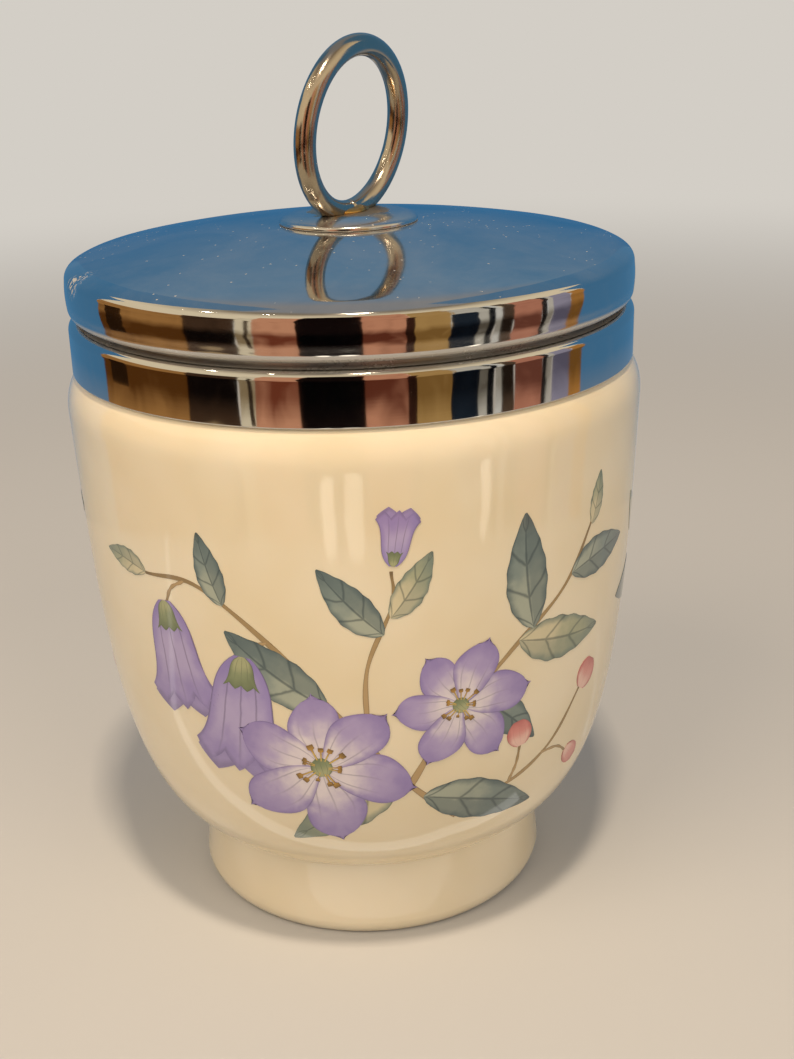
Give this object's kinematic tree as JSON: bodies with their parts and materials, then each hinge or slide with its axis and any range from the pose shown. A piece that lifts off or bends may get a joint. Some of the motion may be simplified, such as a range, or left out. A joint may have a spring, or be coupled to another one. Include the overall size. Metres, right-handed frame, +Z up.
{
  "type": "egg coddler",
  "caption": "Footed porcelain egg coddler cup with a metal screw collar round its mouth and a domed metal screw lid with a wire lifting ring.",
  "frame": {"origin": "centre of the foot's resting plane", "axes": "+Z up the cup's axis, through foot, mouth and lid; the lifting ring stands in the X-Z plane and leans a little towards -Y"},
  "size_m": [0.0698, 0.0698, 0.1067],
  "materials": {
    "porcelain": "gloss",
    "collar_plate": "polished",
    "lid_plate": "polished",
    "thread_ring_metal": "satin",
    "boss_plate": "polished",
    "washer_metal": "satin",
    "ring_wire": "polished",
    "braze": "satin"
  },
  "bodies": {
    "cup": {"cup": "porcelain", "collar": "collar_plate"},
    "lid_riser": {"stud_washer": "washer_metal"},
    "lid": {"lid_shell": "lid_plate", "lid_thread_ring": "thread_ring_metal", "ring_boss": "boss_plate", "lifting_ring": "ring_wire", "ring_braze": "braze"}
  },
  "joints": [
    {"name": "lid_rise", "type": "slide", "parent": "cup", "child": "lid_riser", "axis": [0, 0, 1], "range_m": [0, 0.00721]},
    {"name": "lid_turn", "type": "hinge", "parent": "lid_riser", "child": "lid", "pos_m": [0, 0, 0], "axis": [0, 0, 1], "range_deg": [0, 1080]}
  ],
  "couplings": [
    {"joint": "lid_rise", "follows": "lid_turn", "m_per_rad": 0.00038197}
  ]
}
